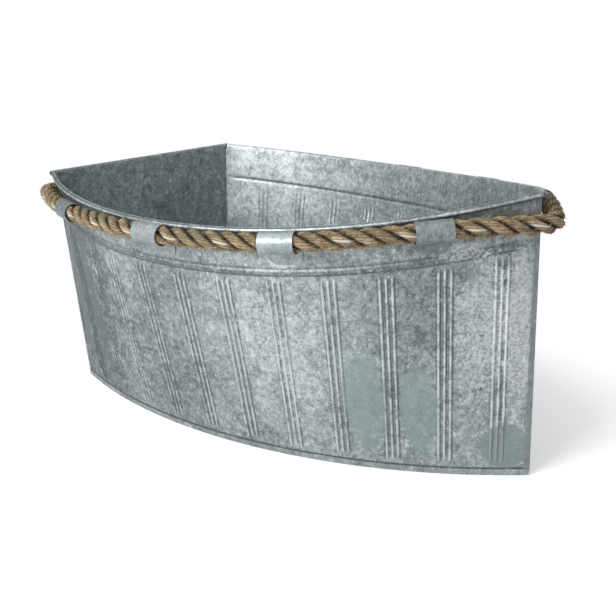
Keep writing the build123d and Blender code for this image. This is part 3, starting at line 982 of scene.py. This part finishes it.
def side_rows():
    """Rows of points up the wall and round the roll.
    Each is a kind and a number: a height over the floor, a depth below the rim, a share of the way
    between those, or an angle round the roll."""
    hem = (SKIN_FOOT, 4.0, 5.6, 6.2, 6.8, 7.4, 8.2, 11.0, 12.5, 14.0, 16.0, LOW_ROWS_TOP)
    rows = [("foot", height) for height in hem]
    rows += [("between", step / MIDDLE_ROWS) for step in range(1, MIDDLE_ROWS)]
    rows += [("below", depth) for depth in (HIGH_ROWS_FOOT, 54.0, 52.0, 50.5, 49.3, 48.4)]
    bead = range(BEAD_ROWS, -BEAD_ROWS - 1, -1)
    rows += [("below", BEAD_DROP + BEAD_ROW_STEP * step) for step in bead]
    rows += [("below", depth) for depth in (39.6, 38.0, 36.0, 31.0, 25.0, 18.0, 12.0, 7.0)]
    rows += [("roll", angle) for angle in range(180, -121, -ROLL_STEP)]
    return rows + [("roll", ROLL_END)]


def store_numbers(thing, name, values):
    """Keeps one number for each point of a mesh, for its material to read."""
    layer = thing.data.attributes.new(name, "FLOAT", "POINT")
    layer.data.foreach_set("value", values)


def dents(length, height):
    """Slow and quick waves of the hand-bent sheet, round zero."""
    slow = math.sin(length / SLOW_DENT + DENT_PHASE)
    slow *= math.cos(height / SLOW_DENT_UP + length / DENT_DRIFT)
    return slow + QUICK_SHARE * math.sin(length / QUICK_DENT + height / QUICK_DENT_UP)


def starboard_skin(sheet):
    """The sheet's outer and inner faces with soft ribs, bead and roll."""
    bead_half = sheet.bead_half / MM
    bead_height = sheet.bead_height / MM
    rib_half = sheet.rib_half / MM
    rib_height = sheet.rib_height / MM
    waviness = sheet.waviness / MM
    shares = side_columns(rib_half)
    rows = side_rows()
    middle_radius = ROLL_RADIUS - SHEET / 2
    columns = []
    for share in shares:
        frame_there = (side_point(share, 0), wall_up(share), wall_out(share), rim_height(share))
        columns.append((share,) + frame_there + rib_profile(share, rib_half))
    painted_shadings = {}
    grooves = {}

    def place(column, line):
        share, foot, up, out, rim, rib_level, rib_painted_shading = columns[column]
        kind, number = rows[line]
        if kind == "roll":
            angle = math.radians(number)
            centre = (rim - ROLL_RADIUS) / up.z
            spot = foot + out * (ROLL_OFFSET + middle_radius * math.cos(angle))
            # Painted highlight along the top of the roll and painted shade under it.
            painted_shadings[column, line] = painted_light_lines(number, ROLL_PAINTED_LIGHT)
            return row(spot + up * (centre + middle_radius * math.sin(angle)))
        if kind == "foot":
            height = number
        elif kind == "below":
            height = rim - number
        else:
            height = LOW_ROWS_TOP + (rim - HIGH_ROWS_FOOT - LOW_ROWS_TOP) * number
        depth = rim - height
        fade = ramp(share, *BEAD_STERN) * (1 - ramp(share, *BEAD_BOW))
        offset = 0.0
        distance = depth - BEAD_DROP
        if abs(distance) < bead_half:
            crest = 0.5 + 0.5 * math.cos(math.pi * distance / bead_half)
            offset += bead_height * fade * crest
        top = BEAD_DROP + bead_half + RIB_TOP_GAP
        body = ramp(height, *RIB_FOOT) * ramp(depth, top, top + RIB_TOP_RUN)
        offset += rib_height * rib_level * body
        grooves[column, line] = rib_height * rib_level * body * MM
        calm = ramp(height, *DENT_FOOT) * ramp(depth, *DENT_TOP) * fade
        offset += waviness * calm * dents(share * side_length(), height) * (1 - rib_level)
        # Painted highlight and shade along the ribs, the bead and the hem.
        painted_shading = rib_painted_shading * body + fade * painted_light_lines(distance, BEAD_PAINTED_LIGHT)
        painted_shadings[column, line] = painted_shading + painted_light_lines(height, HEM_PAINTED_LIGHT)
        return row(foot + up * (height / up.z) + out * offset)

    skin = grid_surface("starboard_skin", len(columns), len(rows), place)
    count = len(columns)
    for name, values in (("painted_shading", painted_shadings), ("groove", grooves)):
        places = ((index % count, index // count) for index in range(count * len(rows)))
        store_numbers(skin, name, [values.get(where, 0.0) for where in places])
    thickness = skin.modifiers.new("thickness", "SOLIDIFY")
    thickness.thickness = SHEET * MM
    thickness.offset = 0.0
    thickness.use_even_offset = True
    apply_modifiers(skin)
    outward_faces(skin)
    quiet_inside(skin)
    smooth(skin, SHARP_SHEET)
    return skin


def quiet_inside(skin):
    """Inside the hull the ribs are shallow grooves with little light and dark beside them."""
    painted_shading = skin.data.attributes["painted_shading"].data
    groove = skin.data.attributes["groove"].data
    inward = [vertex.normal.copy() for vertex in skin.data.vertices]
    for vertex, normal in zip(skin.data.vertices, inward):
        if normal.y > 0:
            value = painted_shading[vertex.index].value
            kept = INSIDE_LIGHT * max(value, 0.0) + INSIDE_DARK * min(value, 0.0)
            painted_shading[vertex.index].value = kept
            vertex.co += normal * (INSIDE_FILL * groove[vertex.index].value)
    skin.data.attributes.remove(skin.data.attributes["groove"])


class PLANTER_OT_side_skins(bpy.types.Operator):
    """Bowed side panels with soft pressed ribs, the bead and the rolled edge"""

    bl_idname = "planter.side_skins"
    bl_label = "Side panels"

    def execute(self, context):
        looks = finishes()
        starboard = starboard_skin(context.scene.planter_sheet)
        port = mirrored(starboard, "port_skin")
        smooth(port, SHARP_SHEET)
        finish_piece(starboard, "starboard_skin", looks["starboard"])
        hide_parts("starboard_side_panel")
        finish_piece(port, "port_skin", looks["port"])
        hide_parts("port_side_panel")
        return {"FINISHED"}


class PLANTER_OT_sheet_pieces(bpy.types.Operator):
    """Transom, floor pan and bow seam strip, smooth-shaded with their sharp edges kept"""

    bl_idname = "planter.sheet_pieces"
    bl_label = "Transom, floor and bow strip"

    def execute(self, context):
        looks = finishes()
        for node, look in (
            ("transom_panel", "transom"),
            ("floor_pan", "floor"),
            ("bow_seam_strip", "seam"),
        ):
            piece = copy_of_node(node)
            smooth(piece, SHARP_NODE)
            finish_piece(piece, node + "_skin", looks[look])
            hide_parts(node)
        for node in ("starboard_rim_wire", "port_rim_wire", "transom_rim_wire"):
            wire = frame["nodes"][node]
            wire.data.materials.clear()
            wire.data.materials.append(looks["wire"])
        return {"FINISHED"}


class PLANTER_OT_straps(bpy.types.Operator):
    """Sheet straps that hold the rope, smooth-shaded with their sharp edges kept"""

    bl_idname = "planter.straps"
    bl_label = "Rope straps"

    def execute(self, context):
        looks = finishes()
        nodes = [node for node in frame["nodes"] if "strap" in node]
        for node in sorted(nodes):
            piece = copy_of_node(node)
            smooth(piece, SHARP_NODE)
            look = "darker strap" if node in DARKER_STRAPS else "strap"
            finish_piece(piece, node + "_skin", looks[look])
            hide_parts(node)
        return {"FINISHED"}


# Rope


def rope_points():
    """Corners of the rope's route, in millimetres, from the middle of the transom."""
    starboard = []
    port = []
    for share, standoff, starboard_drop, port_drop in ROPE_ROUTE:
        for points, drop in ((starboard, starboard_drop), (port, port_drop)):
            height = rim_height(share) - drop
            out = wall_out(share)
            level = Vector((out.x, out.y, 0)).normalized()
            points.append(side_point(share, height) + level * standoff)
    height = STERN_HEIGHT - ROPE_STERN_DROP
    out = wall_out(0)
    bisector = (Vector((out.x, out.y, 0)).normalized() + Vector((-1, 0, 0))).normalized()
    corner = side_point(0, height) + bisector * ROPE_CORNER_REACH
    start = Vector((corner.x, -ROPE_BUTT_GAP / 2, height))
    bow = Vector((LENGTH + ROPE_BOW_REACH, 0, rim_height(1) - ROPE_BOW_DROP))
    other = [Vector((point.x, -point.y, point.z)) for point in reversed(port)]
    ends = [Vector((point.x, -point.y, point.z)) for point in (corner, start)]
    return [start, corner] + starboard + [bow] + other + ends


def rope_line(step):
    """Even points along the smooth line through the route."""
    curve = bpy.data.curves.new("rope line", "CURVE")
    curve.dimensions = "3D"
    curve.resolution_u = 48
    spline = curve.splines.new("NURBS")
    corners = []
    route = rope_points()
    tight = {1: ROPE_CORNER_RUN, len(route) // 2: ROPE_BOW_RUN, len(route) - 2: ROPE_CORNER_RUN}
    for index, point in enumerate(route):
        if index in tight:
            before = (route[index - 1] - point).normalized()
            after = (route[index + 1] - point).normalized()
            corners += [point + before * tight[index], point, point + after * tight[index]]
        else:
            corners.append(point)
    spline.points.add(len(corners) - 1)
    for target, point in zip(spline.points, corners):
        target.co = (*row(point), 1.0)
    spline.order_u = 3
    spline.use_endpoint_u = True
    holder = bpy.data.objects.new("rope line", curve)
    bpy.context.scene.collection.objects.link(holder)
    bpy.context.view_layer.update()
    mesh = bpy.data.meshes.new_from_object(holder)
    points = [vertex.co.copy() for vertex in mesh.vertices]
    bpy.data.objects.remove(holder)
    bpy.data.meshes.remove(mesh)
    lengths = [0.0]
    for first, second in zip(points, points[1:]):
        lengths.append(lengths[-1] + (second - first).length)
    count = max(2, round(lengths[-1] / step))
    even = []
    index = 0
    for number in range(count + 1):
        distance = lengths[-1] * number / count
        while index < len(lengths) - 2 and lengths[index + 1] < distance:
            index += 1
        span = lengths[index + 1] - lengths[index]
        share = (distance - lengths[index]) / span if span else 0.0
        even.append(points[index].lerp(points[index + 1], share))
    return even, lengths[-1]


def strand_ring(rope, line, number, distance, strand):
    """Middle, outward and sideways direction, and radius of one ring of a strand."""
    before = line[max(0, number - 1)]
    after = line[min(len(line) - 1, number + 1)]
    along = (after - before).normalized()
    out = along.cross(Vector((0, 0, 1))).normalized()
    up = out.cross(along).normalized()
    angle = -2 * math.pi * (distance / rope.lay + strand / STRANDS)
    angle += LAY_SWAY * math.sin(distance * LAY_SWAY_RATE)
    toward = out * math.cos(angle) + up * math.sin(angle)
    across = up * math.cos(angle) - out * math.sin(angle)
    uneven = math.sin(distance * SLOW_SWELL + strand * SWELL_SHIFT)
    uneven += math.sin(distance * QUICK_SWELL + strand)
    radius = rope.strand_radius * (1 + SWELL * uneven)
    centre = line[number] + toward * (ROPE_RADIUS * MM - radius)
    tilt = math.atan(2 * math.pi * (ROPE_RADIUS * MM - rope.strand_radius) / rope.lay)
    heading = (along * math.cos(tilt) - across * math.sin(tilt)).normalized()
    return centre, toward, toward.cross(heading).normalized(), radius, along


def strand_faces(base, rings):
    """Faces of one strand from ring to ring, and its two ends."""
    faces = []
    for ring in range(rings - 1):
        for corner in range(STRAND_SIDES):
            a = base + ring * STRAND_SIDES + corner
            b = base + ring * STRAND_SIDES + (corner + 1) % STRAND_SIDES
            faces.append((a, b, b + STRAND_SIDES, a + STRAND_SIDES))
    last = base + (rings - 1) * STRAND_SIDES
    faces.append(tuple(base + corner for corner in reversed(range(STRAND_SIDES))))
    faces.append(tuple(last + corner for corner in range(STRAND_SIDES)))
    return faces


def map_yarns(mesh, turns):
    """The map that the yarns follow: turns round the strand, and metres along the rope."""
    layer = mesh.uv_layers.new(name="yarns")
    for polygon in mesh.polygons:
        values = [turns[mesh.loops[index].vertex_index] for index in polygon.loop_indices]
        shares = [value[0] for value in values]
        wraps = max(shares) - min(shares) > 0.5
        for index, value in zip(polygon.loop_indices, values):
            around = value[0] + (1.0 if wraps and value[0] < 0.5 else 0.0)
            layer.data[index].uv = (around, value[1])


def rope_strands(rope):
    """Three strands twisted round the rope's line, with loose fibres standing off them."""
    line, length = rope_line(ROPE_STEP * MM)
    vertices = []
    faces = []
    turns = []
    tags = []
    hollows = []
    hairs = []
    for strand in range(STRANDS):
        base = len(vertices)
        for number in range(len(line)):
            distance = length * number / (len(line) - 1)
            centre, toward, side, radius, along = strand_ring(rope, line, number, distance, strand)
            for corner in range(STRAND_SIDES):
                spin = 2 * math.pi * corner / STRAND_SIDES
                away = toward * math.cos(spin) + side * math.sin(spin)
                rough = 1 + random.uniform(-YARN_ROUGHNESS, YARN_ROUGHNESS)
                vertices.append(centre + away * (radius * rough))
                turns.append((corner / STRAND_SIDES, distance))
                tags.append(strand)
                # How far each point faces the middle of the rope; the rope material paints shade
                # there.
                hollows.append(0.5 - 0.5 * math.cos(spin))
                if math.cos(spin) > HAIR_REACH and random.random() < HAIR_SHARE:
                    hairs.append((vertices[-1], away, along, strand))
        faces += strand_faces(base, len(line))
    for root, away, along, strand in hairs:
        add_hair(vertices, faces, root, away, along)
        new = len(vertices) - len(turns)
        turns += [(HAIR_YARN, random.random())] * new
        tags += [strand] * new
        hollows += [0.0] * new
    mesh = bpy.data.meshes.new("rope_strands")
    mesh.from_pydata(vertices, [], faces)
    map_yarns(mesh, turns)
    thing = bpy.data.objects.new("rope_strands", mesh)
    bpy.context.scene.collection.objects.link(thing)
    store_numbers(thing, "strand", tags)
    store_numbers(thing, "hollow", hollows)
    outward_faces(thing)
    smooth(thing, SHARP_STRAND)
    return thing


def add_hair(vertices, faces, root, away, along):
    """One loose fibre: a thin three-sided spike that leans along the rope."""
    lean = along * random.uniform(-1.6, 1.6) + Vector((0, 0, random.uniform(-0.6, 0.3)))
    length = random.uniform(*HAIR_LENGTH) * MM
    first = (away + lean).normalized()
    second = (away * 0.4 + lean + Vector((0, 0, -0.2))).normalized()
    base = len(vertices)
    girth = random.uniform(*HAIR_GIRTH) * MM
    side = first.orthogonal().normalized() * girth
    other = first.cross(side).normalized() * girth
    ring = (side, side * -0.5 + other * 0.87, side * -0.5 - other * 0.87)
    low = root - away * HAIR_ROOT * MM
    middle = root + first * length * 0.5
    vertices += [low + spoke for spoke in ring] + [middle + spoke * 0.7 for spoke in ring]
    vertices.append(middle + second * length * 0.5)
    tip = base + 6
    faces.append((base + 2, base + 1, base))
    for corner in range(3):
        ahead = (corner + 1) % 3
        faces.append((base + corner, base + ahead, base + 3 + ahead, base + 3 + corner))
        faces.append((base + 3 + corner, base + 3 + ahead, tip))


class PLANTER_OT_rope(bpy.types.Operator):
    """Three-strand rope laid round the hull"""

    bl_idname = "planter.rope"
    bl_label = "Laid rope"

    def execute(self, context):
        looks = finishes()
        piece = rope_strands(context.scene.planter_rope)
        finish_piece(piece, "rope_strands", looks["rope"])
        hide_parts("rope")
        return {"FINISHED"}


# Stage

FLOOR_SIZE = 30
FLOOR_COLOUR = (0.90, 0.90, 0.90, 1)
FLOOR_GLOW = 0.38
# The floor keeps the shadow inside this reach, in metres, and is plain white beyond it.
SHADOW_REACH = (0.32, 0.50)
SHADOW_SHAPE = (1.0, 1.4, 1.0)
# The bright side of the room, and how bright the metal mirrors its dark and its bright side.
ROOM_FRONT = (0.30, -0.90, 0.30)
ROOM_LEVELS = (0.25, 0.95)
# Each lamp's place, the point that it faces, and its width and height, in metres.
FRONT_LAMP = ((-0.10, -2.1, 1.25), (0.0, 0.0, 0.12), (1.2, 0.9))
TOP_LAMP = ((-0.2, -0.3, 2.2), (0, 0, 0.1), (2.0, 1.6))


def stage_floor():
    """Pale floor that keeps the shadow near the planter and turns to plain white further off."""
    deselect()
    bpy.ops.mesh.primitive_plane_add(size=FLOOR_SIZE, location=(0, 0, -0.0005))
    floor = bpy.context.object
    floor.name = "studio_floor"
    material = bpy.data.materials.new("pale studio floor")
    material.use_nodes = True
    tree = material.node_tree
    tree.nodes.clear()
    result = tree.nodes.new("ShaderNodeOutputMaterial")
    matt = tree.nodes.new("ShaderNodeBsdfDiffuse")
    matt.inputs["Color"].default_value = FLOOR_COLOUR
    glow = tree.nodes.new("ShaderNodeEmission")
    glow.inputs["Color"].default_value = (1, 1, 1, 1)
    glow.inputs["Strength"].default_value = FLOOR_GLOW
    white = tree.nodes.new("ShaderNodeEmission")
    white.inputs["Color"].default_value = (1, 1, 1, 1)
    white.inputs["Strength"].default_value = 1.0
    path = tree.nodes.new("ShaderNodeLightPath")
    where = tree.nodes.new("ShaderNodeTexCoord").outputs["Object"]
    reach = vector(tree, "LENGTH", vector(tree, "MULTIPLY", where, SHADOW_SHAPE))
    far = remap(tree, reach, *SHADOW_REACH)
    near = tree.nodes.new("ShaderNodeAddShader")
    seen = tree.nodes.new("ShaderNodeMixShader")
    choice = tree.nodes.new("ShaderNodeMixShader")
    tree.links.new(matt.outputs[0], near.inputs[0])
    tree.links.new(glow.outputs[0], near.inputs[1])
    tree.links.new(far, seen.inputs[0])
    tree.links.new(near.outputs[0], seen.inputs[1])
    tree.links.new(white.outputs[0], seen.inputs[2])
    tree.links.new(path.outputs["Is Camera Ray"], choice.inputs[0])
    tree.links.new(matt.outputs[0], choice.inputs[1])
    tree.links.new(seen.outputs[0], choice.inputs[2])
    tree.links.new(choice.outputs[0], result.inputs["Surface"])
    floor.data.materials.append(material)


def stage_world(strength):
    """A pale room, white to the camera and darker behind the stern in reflections."""
    world = bpy.data.worlds.new("pale room")
    bpy.context.scene.world = world
    world.use_nodes = True
    tree = world.node_tree
    background = tree.nodes["Background"]
    background.inputs["Color"].default_value = (1, 1, 1, 1)
    path = tree.nodes.new("ShaderNodeLightPath")
    where = tree.nodes.new("ShaderNodeTexCoord").outputs["Generated"]
    front = tree.nodes.new("ShaderNodeVectorMath")
    front.operation = "DOT_PRODUCT"
    tree.links.new(where, front.inputs[0])
    front.inputs[1].default_value = ROOM_FRONT
    mirror = remap(tree, front.outputs["Value"], -0.6, 0.8, *ROOM_LEVELS)
    direct = (path.outputs["Is Camera Ray"], path.outputs["Is Transmission Ray"])
    seen = calculate(tree, "MAXIMUM", *direct)
    level = calculate(tree, "MULTIPLY", path.outputs["Is Glossy Ray"], mirror)
    level = calculate(tree, "MAXIMUM", level, seen)
    tree.links.new(calculate(tree, "MAXIMUM", level, strength), background.inputs["Strength"])


def soft_lamp(name, place, target, size, power):
    """A rectangular lamp that faces a target."""
    deselect()
    bpy.ops.object.light_add(type="AREA", location=place)
    lamp = bpy.context.object
    lamp.name = name
    lamp.data.shape = "RECTANGLE"
    lamp.data.size = size[0]
    lamp.data.size_y = size[1]
    lamp.data.energy = power
    direction = Vector(target) - Vector(place)
    lamp.rotation_euler = direction.to_track_quat("-Z", "Y").to_euler()


def photo_camera():
    """Camera at the photograph's angle, height, distance and lens."""
    azimuth = math.radians(CAMERA_AZIMUTH)
    elevation = math.radians(CAMERA_ELEVATION)
    roll = math.radians(CAMERA_ROLL)
    level = math.cos(elevation)
    back = Vector((math.sin(azimuth) * level, -math.cos(azimuth) * level, math.sin(elevation)))
    right = Vector((math.cos(azimuth), math.sin(azimuth), 0))
    up = right.cross(-back)
    aim = Vector(CAMERA_AIM) + right * CAMERA_RIGHT + up * CAMERA_UP
    side = right * math.cos(roll) + up * math.sin(roll)
    top = up * math.cos(roll) - right * math.sin(roll)
    camera = bpy.data.objects.new("photo camera", bpy.data.cameras.new("photo camera"))
    bpy.context.scene.collection.objects.link(camera)
    turn = Matrix((side, top, back)).transposed().to_4x4()
    camera.matrix_world = Matrix.Translation(row(aim + back * CAMERA_DISTANCE)) @ turn
    camera.data.sensor_width = SENSOR_WIDTH
    camera.data.lens = SENSOR_WIDTH * FOCAL_PIXELS / IMAGE_WIDTH
    camera.data.clip_start = 0.01
    camera.data.clip_end = 100.0
    bpy.context.scene.camera = camera


class PLANTER_OT_stage(bpy.types.Operator):
    """Pale floor, soft lamps and the camera"""

    bl_idname = "planter.stage"
    bl_label = "Studio"

    def execute(self, context):
        settings = context.scene.planter_stage
        stage_floor()
        stage_world(settings.ambient)
        soft_lamp("front softbox", *FRONT_LAMP, settings.key)
        soft_lamp("top softbox", *TOP_LAMP, settings.fill)
        photo_camera()
        context.scene.view_settings.view_transform = "Standard"
        return {"FINISHED"}


class PLANTER_PT_panel(bpy.types.Panel):
    """Buttons and settings for the planter"""

    bl_idname = "PLANTER_PT_panel"
    bl_label = "Boat-shaped planter"
    bl_space_type = "VIEW_3D"
    bl_region_type = "UI"
    bl_category = "Planter"

    def draw(self, context):
        layout = self.layout
        for operator in OPERATORS:
            layout.operator(operator.bl_idname)
        for name, settings in SETTINGS.items():
            box = layout.box()
            for label in settings.__annotations__:
                box.prop(getattr(context.scene, name), label)


SETTINGS = {
    "planter_sheet": PLANTER_PG_sheet,
    "planter_rope": PLANTER_PG_rope,
    "planter_stage": PLANTER_PG_stage,
}
OPERATORS = [
    PLANTER_OT_side_skins,
    PLANTER_OT_sheet_pieces,
    PLANTER_OT_straps,
    PLANTER_OT_rope,
    PLANTER_OT_stage,
]


def register():
    for settings in SETTINGS.values():
        bpy.utils.register_class(settings)
    for name, settings in SETTINGS.items():
        setattr(bpy.types.Scene, name, bpy.props.PointerProperty(type=settings))
    for operator in OPERATORS:
        bpy.utils.register_class(operator)
    bpy.utils.register_class(PLANTER_PT_panel)


def unregister():
    bpy.utils.unregister_class(PLANTER_PT_panel)
    for operator in reversed(OPERATORS):
        bpy.utils.unregister_class(operator)
    for name in SETTINGS:
        delattr(bpy.types.Scene, name)
    for settings in reversed(list(SETTINGS.values())):
        bpy.utils.unregister_class(settings)


def main():
    """Makes the whole planter."""
    random.seed(RANDOM_SEED)
    register()
    bpy.ops.planter.side_skins()
    bpy.ops.planter.sheet_pieces()
    bpy.ops.planter.straps()
    bpy.ops.planter.rope()
    bpy.ops.planter.stage()


if __name__ == "__main__":
    main()
